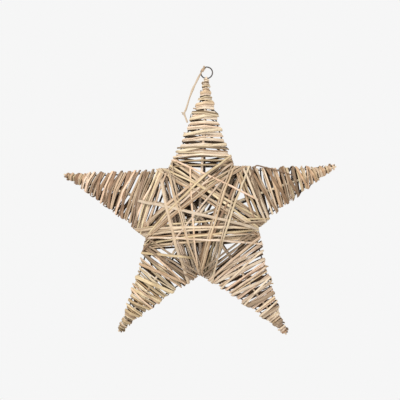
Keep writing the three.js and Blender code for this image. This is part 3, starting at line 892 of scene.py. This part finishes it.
def follow_strands():
    used, strands = set(), []
    for start in slots:
        if id(front_chords[start]) in used:
            continue
        here, face, steps = start, -1, []
        while True:
            chord = (front_chords if face == -1 else back_chords)[here]
            if id(chord) in used:
                break
            used.add(id(chord))
            forward = chord.keys[0] == here
            steps.append((chord, forward))
            here = chord.keys[1] if forward else chord.keys[0]
            face = -face
            if len(steps) == CHORDS_PER_STRAND:
                strands.append(steps)
                steps = []
        if steps:
            strands.append(steps)
    return strands


def chord_stations(chord, forward=True):
    facing = -chord.face if forward else chord.face
    out = []
    for along, height in chord.heights if forward else chord.heights[::-1]:
        point = chord.start + chord.direction * along
        point.y = chord.face * height
        out.append((point, chord.fold_at(along) * facing, chord.width, chord.thick))
    return out


# Painted shade: the lower strips get darker tones than those woven over them, as if in their shadow
LOWER_PAINTED_SHADE = (0.0, 0.6)

for index, steps in enumerate(follow_strands()):
    number = f"{index + 1:02d}"
    strand = Ribbons(f"woven_strip_{number}")
    stations = []
    for chord, forward in steps:
        stations += chord_stations(chord, forward)
    strand.add(stations, waver=0.25, twist=4, shade=LOWER_PAINTED_SHADE)
    strand.build(SLOTS_OF[f"body_strip_{number}"], f"body_strip_{number}")

# Strips woven over the body: they go round the edge wires just above the frame's own
WEAVE_THICK = 1.0
WEAVE_LIFT = 3.65
WEAVE_STEP = 1.5
WEAVE_PASSES = 3
LAYERS_OVER = 4
LAYER_RISE = 1.2
WIRE_LAYER_RISE = 0.3
# The most that a strip may stand out in front and behind
MOST_OUT = {-1: 48.2, 1: 45.8}
LIFT_OVER = 12
LEAST_CROSSING = 0.35
SHORTEST = 34
INSIDE_PLACES = 12
FAR = 1e9


def wire_place(notch, side, distance, width, layer):
    arm = ARMS[(notch + side) % len(ARMS)]
    edge = arm["edges"][1 if side == 0 else -1]
    wire = NOTCH_POINTS[notch % len(NOTCHES)] + edge["direction"] * distance
    rise = EDGE_WIRE_R + TOUCH_GAP + BODY_THICK / 2 + WEAVE_LIFT + layer * WIRE_LAYER_RISE
    return Slot(wire + edge["outward"] * rise, rise, edge["direction"], edge["outward"], width)


def tucked_place(x, z, height, width):
    """An end that lies under other strips, at a height over the star's middle plane."""
    return Slot(Vector((x, 0, z)), height, None, None, width)


def outside(point):
    """How far a place in the middle plane lies beyond the edge wires."""
    away = point - CENTRE
    turn = math.degrees(math.atan2(away.z, away.x))
    least = FAR
    for arm in ARMS:
        bounds = [NOTCHES[arm["index"] + shift][0] - arm["angle"] for shift in (0, -1)]
        bounds = [(b + 180) % 360 - 180 for b in bounds]
        if not min(bounds) <= (turn - arm["angle"] + 180) % 360 - 180 <= max(bounds):
            continue
        for side, shift in ((1, 0), (-1, -1)):
            notch = NOTCH_POINTS[arm["index"] + shift]
            beyond = (point - notch).dot(arm["edges"][side]["outward"])
            least = beyond if least == FAR else max(least, beyond)
    return least


def lies_inside(chord):
    line = chord.direction * chord.length
    return all(outside(chord.start + line * k / INSIDE_PLACES) < 1 for k in range(1, INSIDE_PLACES))


def weave(first, last, face, layer):
    chord = make_chord(first, last)
    chord.thick, chord.face = WEAVE_THICK, face
    lay_chord(chord, LAID[face], WEAVE_STEP, WEAVE_PASSES)
    top = MOST_OUT[face]
    lift = layer * LAYER_RISE
    ends = (first.outward is not None, last.outward is not None)
    heights = []
    for along, height in chord.heights:
        near = min(along if ends[0] else FAR, chord.length - along if ends[1] else FAR)
        heights.append((along, min(height + lift * min(near / LIFT_OVER, 1), top)))
    chord.heights = heights
    return chord


# Where stray strips turn round the wires, how wide they are, and how many there are
STRAY_FIRST = 2
STRAY_SPREAD = 25
STRAY_NEARER = 1.2
STRAY_WIDTHS = (1.8, 2.2, 2.6, 3.0, 3.4)
STRAY_STEPS = (1, 2, 2, 3, 3, 4)
STRAY_TRIES = 60
STRAY_CHORDS = 6
STRAY_STRANDS = 11


def stray_place(notch, width, layer):
    distance = STRAY_FIRST + STRAY_SPREAD * draws.random() ** STRAY_NEARER
    return wire_place(notch, draws.randint(0, 1), distance, width, layer)


def stray_strand(count):
    """A strip that goes to and fro over the body, front and back in turn."""
    width = draws.choice(STRAY_WIDTHS)
    notch = draws.randrange(len(NOTCHES))
    layer = draws.randrange(LAYERS_OVER)
    here = stray_place(notch, width, layer)
    face = draws.choice((-1, 1))
    stations = []
    for _ in range(count):
        for _ in range(STRAY_TRIES):
            there = (notch + draws.choice(STRAY_STEPS)) % len(NOTCHES)
            place = stray_place(there, width, layer)
            chord = make_chord(here, place)
            leans = [abs(end.outward.dot(chord.direction)) for end in (here, place)]
            if chord.length > SHORTEST and min(leans) > LEAST_CROSSING and lies_inside(chord):
                break
        else:
            break
        chord = weave(here, place, face, layer)
        stations += chord_stations(chord)
        here, notch, face = place, there, -face
    return stations


strays = Ribbons("stray_strips")
for _ in range(STRAY_STRANDS):
    stations = stray_strand(STRAY_CHORDS)
    if len(stations) > 2:
        strays.add(stations, waver=0.4, twist=7)
strays.build("willow_tan")

# Windings that close each arm's base, over the body strips
BASE_PITCH = 6.6
BASE_FIRST = 3.0
BASE_LAST = 29.0
BASE_STRAY = 2.6
BASE_LAYERS = 3
BASE_FIRST_WIDTH = (2.4, 3.8)
BASE_NEXT_WIDTH = (2.2, 4.0)
BASE_STRIP_TURNS = 2
bases = Ribbons("arm_base_strips")
for arm in ARMS:
    k = arm["index"]
    distance, stations, turn = BASE_FIRST, [], 0
    width = draws.uniform(*BASE_FIRST_WIDTH)
    pitch = BASE_PITCH / COVER[arm["name"]] ** 0.5
    while distance < BASE_LAST:
        layer = 1 + turn % BASE_LAYERS
        shift = [distance + draws.uniform(-BASE_STRAY, BASE_STRAY) for _ in range(2)]
        left = wire_place(k - 1, 1, shift[0], width, layer)
        right = wire_place(k, 0, shift[1], width, layer)
        stations += chord_stations(weave(left, right, -1, layer))
        distance += pitch
        left = wire_place(k - 1, 1, distance, width, layer)
        stations += chord_stations(weave(right, left, 1, layer))
        turn += 1
        if turn % BASE_STRIP_TURNS == 0:
            bases.add(stations, waver=0.4, twist=6)
            stations, width = stations[-1:], draws.uniform(*BASE_NEXT_WIDTH)
    if len(stations) > 1:
        bases.add(stations, waver=0.4, twist=6)
bases.build("willow_light")

# The strips that show most on the front. Each has two ends and a width, and an end is either the notch,
# side and distance where it turns round a wire, or the place where it is tucked under
TAIL = 13
TAIL_LIFT = 5
TAIL_NARROWS = 0.9
TUCK_LIFT = 3
# Painted light: the front strips, lying on top, keep to the lighter tones as if lit, where those beneath are
# shaded
FRONT_PAINTED_LIGHT = (0.4, 1.0)
FRONT_SLOTS = ("willow_light", "willow_tan", "willow_rose", "willow_olive")
FRONT_STRIPS = [
    ((3, 1, 18), (0, 0, 17), 3.0),
    ((3, 1, 22), (0, 1, 13), 2.8),
    ((3, 0, 4), (0, 0, 9), 3.0),
    ((3, 1, 14), (-17, -175), 2.4),
    ((4, 1, 3), (-36, -188), 2.4),
    ((-21, -148), (2, 0, 3), 2.6),
    ((4, 1, 17), (76, -198), 2.8),
    ((0, 1, 27), (2, 0, 24), 3.0),
    ((4, 1, 9), (1, 0, 5), 3.2),
    ((3, 1, 23), (1, 1, 4), 3.4),
    ((0, 1, 10), (-48, -264), 2.6),
    ((4, 1, 2), (2, 1, 3), 2.2),
    ((1, 1, 13), (-4, -252), 2.4),
    ((3, 0, 27), (-18, -281), 3.6),
    ((3, 0, 4), (1, 1, 28), 3.0),
    ((0, 1, 6), (2, 1, 2), 2.8),
    ((-99, -198), (1, 1, 6), 4.2),
    ((4, 0, 17), (2, 1, 25), 4.4),
]


def strip_end(key, width, layer):
    if len(key) == 3:
        return wire_place(*key, width, layer)
    x, z = key
    return tucked_place(x, z, ridge_tent(Vector((x, 0, z))) + TUCK_LIFT, width)


def ridge_tent(point):
    """Height of the wire frame's faces over a place in the middle plane."""
    away = point - CENTRE
    arm = max(ARMS, key=lambda a: away.normalized().dot(a["along"]))
    along, across = away.dot(arm["along"]), away.dot(arm["across"])
    half = abs(edge_across(arm, 1 if across > 0 else -1, along))
    return ridge_height(arm, along) * max(1 - abs(across) / half, 0)


def wire_tail(place):
    """The short end that turns round the wire and lies on the back."""
    start = place.turn - place.outward * TAIL
    start.y = place.rise + TAIL_LIFT
    return start, place.turn + Vector((0, place.rise * BEVEL, 0))


for index, (first, last, width) in enumerate(FRONT_STRIPS):
    strip = Ribbons(f"front_strip_{index + 1:02d}")
    layer = 1 + index * (LAYERS_OVER - 1) / len(FRONT_STRIPS)
    ends = [strip_end(key, width, layer) for key in (first, last)]
    chord = weave(*ends, -1, layer)
    stations = chord_stations(chord)
    for at_start, end in ((True, ends[0]), (False, ends[1])):
        if end.outward is None:
            continue
        point, turned = wire_tail(end)
        beside = stations[0 if at_start else -1]
        fold = end.direction * (1 if end.direction.dot(beside[1]) > 0 else -1)
        tail_end = (point, fold, width * TAIL_NARROWS, WEAVE_THICK)
        extra = [tail_end, (turned, fold, width, WEAVE_THICK)]
        stations = extra + stations if at_start else stations + extra[::-1]
    strip.add(stations, waver=0.45, twist=6, shade=FRONT_PAINTED_LIGHT)
    strip.build(FRONT_SLOTS[index % len(FRONT_SLOTS)])

# Ridge strips
for arm in ARMS:
    top, run, tail, heading = ridge_run(arm)
    flat = ridge_height(arm, arm["apex"]) + STRIP_RISE
    half = [(CENTRE + heading * s, h, RIDGE_STRIP_WIDTH) for s, h in reversed(tail)]
    ends = [*run, (arm["reach"] - RIDGE_STRIP_THICK * 1.6, flat), (arm["reach"], flat * BEVEL)]
    half += [(CENTRE + arm["along"] * s, h, ridge_strip_width(arm, s)) for s, h in ends]
    both = [(p, -h, w) for p, h, w in half] + [(p, h, w) for p, h, w in reversed(half)]
    stations = [(Vector((p.x, h, p.z)), -arm["across"], w, RIDGE_STRIP_THICK) for p, h, w in both]
    strip = Ribbons(f"ridge_ribbon_{arm['name']}")
    strip.add(stations, waver=0.3, twist=3)
    strip.build(SLOTS_OF[f"ridge_strip_{arm['name']}"], f"ridge_strip_{arm['name']}")

# The loose strand: hooked round the ring, knotted there, with a bud where it bends
STRAND_STRAY = 0.7
STRAND_MIDDLE = (0.86, 0.9)
STRAND_END = (0.7, 0.6)
STRAND_PAST = 0.6
KNOB = 1.35
KNOBS_AT = (1, 3)
BUD_AT = 3
BUDS = [(Vector((-3.6, -0.8, 2.2)), 1.9), (Vector((-2.8, 0.6, -1.0)), 1.5)]
KNOT_R = 2.0
KNOT_STEPS = 8
KNOT_TURNS = 2
KNOT_RISE = 0.2
KNOT_SHARE = 0.18
KNOT_WIDTH = 1.9
KNOT_THICK = 0.9

strand = Ribbons("hanging_strand")
ring_radial = polar(HOOK_TURN)
ring_tangent = Vector((-ring_radial.z, 0, ring_radial.x))
hook_rise = RING_WIRE_R + TOUCH_GAP + STRAND_THICK / 2
hook_centre = Vector((0, 0, RING_WIRE_R - RING_R)) + ring_radial * RING_R
stations = []
for i in range(HOOK_STEPS):
    turn = mix((HOOK_FIRST, HOOK_LAST), i / (HOOK_STEPS - 1)) * DEGREE
    point = hook_centre + ring_radial * math.cos(turn) * hook_rise
    point.y = -math.sin(turn) * hook_rise
    stations.append((point, -ring_tangent, STRAND_WIDTH, STRAND_THICK))
top_arm = ARMS[0]
caught_at = top_arm["reach"] - CAUGHT_BELOW_TIP
caught_rise = EDGE_RISE + CROSSING_LIFT + WINDING_THICK / 2 + STRAND_GAP + STRAND_WIDTH / 2
caught = arm_point(top_arm, caught_at, edge_across(top_arm, -1, caught_at) - caught_rise, 0)
bends = [Vector(bend) for bend in STRAND_BENDS] + [caught]
for i, point in enumerate(bends):
    before = bends[i - 1] if i else stations[-1][0]
    travel = bends[min(i + 1, len(bends) - 1)] - before
    travel.y = 0
    fold = travel.normalized().cross(Y_AXIS)
    middle = before.lerp(point, 0.5) + fold * draws.uniform(-STRAND_STRAY, STRAND_STRAY)
    stations.append((middle, fold, STRAND_WIDTH * STRAND_MIDDLE[0], STRAND_THICK * STRAND_MIDDLE[1]))
    knob = KNOB if i in KNOBS_AT else 1.0
    stations.append((point, fold, STRAND_WIDTH * knob, STRAND_THICK * knob))
end = caught + (caught - bends[-2]).normalized() * STRAND_PAST
stations.append((end, fold, STRAND_WIDTH * STRAND_END[0], STRAND_THICK * STRAND_END[1]))
strand.add(stations, waver=0.3, twist=12, ragged=0.14, profile=ROUND_PROFILE)
bud_root = bends[BUD_AT]
for reach, width in BUDS:
    bud = [(bud_root, Y_AXIS, width, width), (bud_root + reach * 0.6, Y_AXIS, width * 1.1, width)]
    bud.append((bud_root + reach, Y_AXIS, width * 0.35, width * 0.4))
    strand.add(bud, waver=0.05, twist=2, profile=ROUND_PROFILE)
# Two turns of the knot round the strand, just below the ring wire
knot_at = stations[HOOK_STEPS - 1][0].lerp(bends[0], KNOT_SHARE)
knot_way = (bends[0] - knot_at).normalized()
knot_side = knot_way.cross(Y_AXIS).normalized()
knot = []
for k in range(KNOT_TURNS * KNOT_STEPS + 1):
    turn = k * 2 * math.pi / KNOT_STEPS
    away = knot_side * math.cos(turn) + Y_AXIS * math.sin(turn)
    knot.append((knot_at + away * KNOT_R + knot_way * k * KNOT_RISE, knot_way, KNOT_WIDTH, KNOT_THICK))
strand.add(knot, waver=0.1, twist=3, profile=ROUND_PROFILE, smooth=False)
strand.build(SLOTS_OF["loose_strand"], "loose_strand")


def surface(x, z, lift):
    """A place on the front of a wound arm."""
    point = Vector((x, 0, z))
    point.y = -(ridge_tent(point) + EDGE_RISE + lift)
    return point


# One strip that stands proud of the right arm's upper edge
PROUD_WIDTH = 2.0
proud_strip = Ribbons("proud_strip")
proud = [
    surface(57, -182, 4.6),
    surface(68, -156, 5.4),
    Vector((72.2, -3.2, -146.6)),
    Vector((75.8, -2.6, -146.8)),
    surface(95, -152.5, 5.6),
    surface(124, -162, 4.4),
]
stations = []
for i, point in enumerate(proud):
    travel = proud[min(i + 1, len(proud) - 1)] - proud[max(i - 1, 0)]
    fold = travel.normalized().cross(Y_AXIS).normalized() * -1
    stations.append((point, fold, PROUD_WIDTH, WEAVE_THICK))
proud_strip.add(stations, waver=0.3, twist=6, shade=(0.6, 0.9))
proud_strip.build("willow_light")

# Cut ends of strips at the edges
CUT_ENDS = 2
STUB_FROM = 0.42
STUB_TIP_CLEAR = 6
STUB_DEPTH = (1.5, 4)
STUB_OUT = EDGE_RISE + 1.5
STUB_LEAN = 0.9
STUB_TILT = 0.4
STUB_REACH = (2.0, 3.6)
STUB_WIDTH = (1.6, 2.6)
STUB_ROOT = 0.8
STUB_NARROWS = 0.8
STUB_THINS = 0.7
STUB_SHADE = (0.1, 0.6)
ends = Ribbons("cut_ends")
for arm in ARMS:
    for _ in range(CUT_ENDS):
        side = draws.choice((-1, 1))
        along = draws.uniform(arm["apex"] * STUB_FROM, arm["wound"] - STUB_TIP_CLEAR)
        depth = draws.choice((-1, 1)) * draws.uniform(*STUB_DEPTH)
        out = arm["edges"][side]["outward"]
        beside = side * STUB_OUT
        root = arm_point(arm, along, edge_across(arm, side, along) + beside, depth)
        lean = arm["along"] * draws.uniform(-STUB_LEAN, STUB_LEAN)
        tilt = Y_AXIS * draws.uniform(-STUB_TILT, STUB_TILT)
        reach = (out + lean + tilt).normalized() * draws.uniform(*STUB_REACH)
        width = draws.uniform(*STUB_WIDTH)
        fold = reach.cross(Y_AXIS).normalized()
        stub = [(root - reach * STUB_ROOT, fold, width, WEAVE_THICK)]
        stub.append((root + reach, fold, width * STUB_NARROWS, WEAVE_THICK * STUB_THINS))
        ends.add(stub, waver=0.2, twist=8, shade=STUB_SHADE)
ends.build("willow_brown")

# Frame wires and ring keep their solids and get a better finish
for name, obj in frame["nodes"].items():
    if SLOTS_OF[name] == "dark_wire":
        obj.data.materials.clear()
        obj.data.materials.append(MATERIALS["dark_wire"])


# Studio
FLOOR_DROP = 0.95
FLOOR_R = 3.2
FLOOR_SIDES = 96
FLOOR_GREY = 0.82
FLOOR_ROUGH = 0.9
PALE = (0.922, 0.922, 0.922)
KEY_LIGHT = dict(place=(-0.7, -1.5, 0.7), size=0.8, power=24)
FILL_LIGHT = dict(place=(0.9, -1.3, 0.0), size=1.2, power=6)


def make_floor():
    mesh = bpy.data.meshes.new("floor")
    work = bmesh.new()
    bmesh.ops.create_circle(work, cap_ends=True, segments=FLOOR_SIDES, radius=FLOOR_R)
    work.to_mesh(mesh)
    work.free()
    floor = bpy.data.objects.new("floor", mesh)
    floor.location = (0, 0, -FLOOR_DROP)
    bpy.context.scene.collection.objects.link(floor)
    material, nodes, links, shader = new_material("pale_floor")
    shader.inputs["Base Color"].default_value = (FLOOR_GREY, FLOOR_GREY, FLOOR_GREY, 1)
    shader.inputs["Roughness"].default_value = FLOOR_ROUGH
    mesh.materials.append(material)


def add_aimed(name, data, place, target):
    """Adds a light or a camera that looks at its target."""
    obj = bpy.data.objects.new(name, data)
    obj.location = place
    obj.rotation_mode = "QUATERNION"
    obj.rotation_quaternion = (target - Vector(place)).to_track_quat("-Z", "Y")
    bpy.context.scene.collection.objects.link(obj)
    return obj


def area_light(name, target, place, size, power):
    light = bpy.data.lights.new(name, "AREA")
    light.shape = "DISK"
    light.size = size
    light.energy = power
    add_aimed(name, light, place, target)


make_floor()
world = bpy.data.worlds.new("studio")
world.use_nodes = True
background = world.node_tree.nodes["Background"]
background.inputs["Color"].default_value = (*PALE, 1)
background.inputs["Strength"].default_value = 1.0
bpy.context.scene.world = world
bpy.context.scene.view_settings.view_transform = "Standard"

AIM = Vector((-9.9, 0, -195.75)) * MM
area_light("key", AIM, **KEY_LIGHT)
area_light("fill", AIM, **FILL_LIGHT)

# Camera at the photograph's viewing angle
VIEW_AZIMUTH = 5 * DEGREE
VIEW_ELEVATION = -5 * DEGREE
PHOTO_PIXELS = 400
MM_PER_PIXEL = 1.457
LENS = 85
FIELD = PHOTO_PIXELS * MM_PER_PIXEL * MM
camera = bpy.data.cameras.new("camera")
camera.lens = LENS
distance = FIELD / camera.sensor_width * camera.lens
level = math.cos(VIEW_ELEVATION)
back = Vector((math.sin(VIEW_AZIMUTH) * level, -math.cos(VIEW_AZIMUTH) * level, math.sin(VIEW_ELEVATION)))
bpy.context.scene.camera = add_aimed("camera", camera, AIM + back * distance, AIM)

bpy.context.view_layer.update()
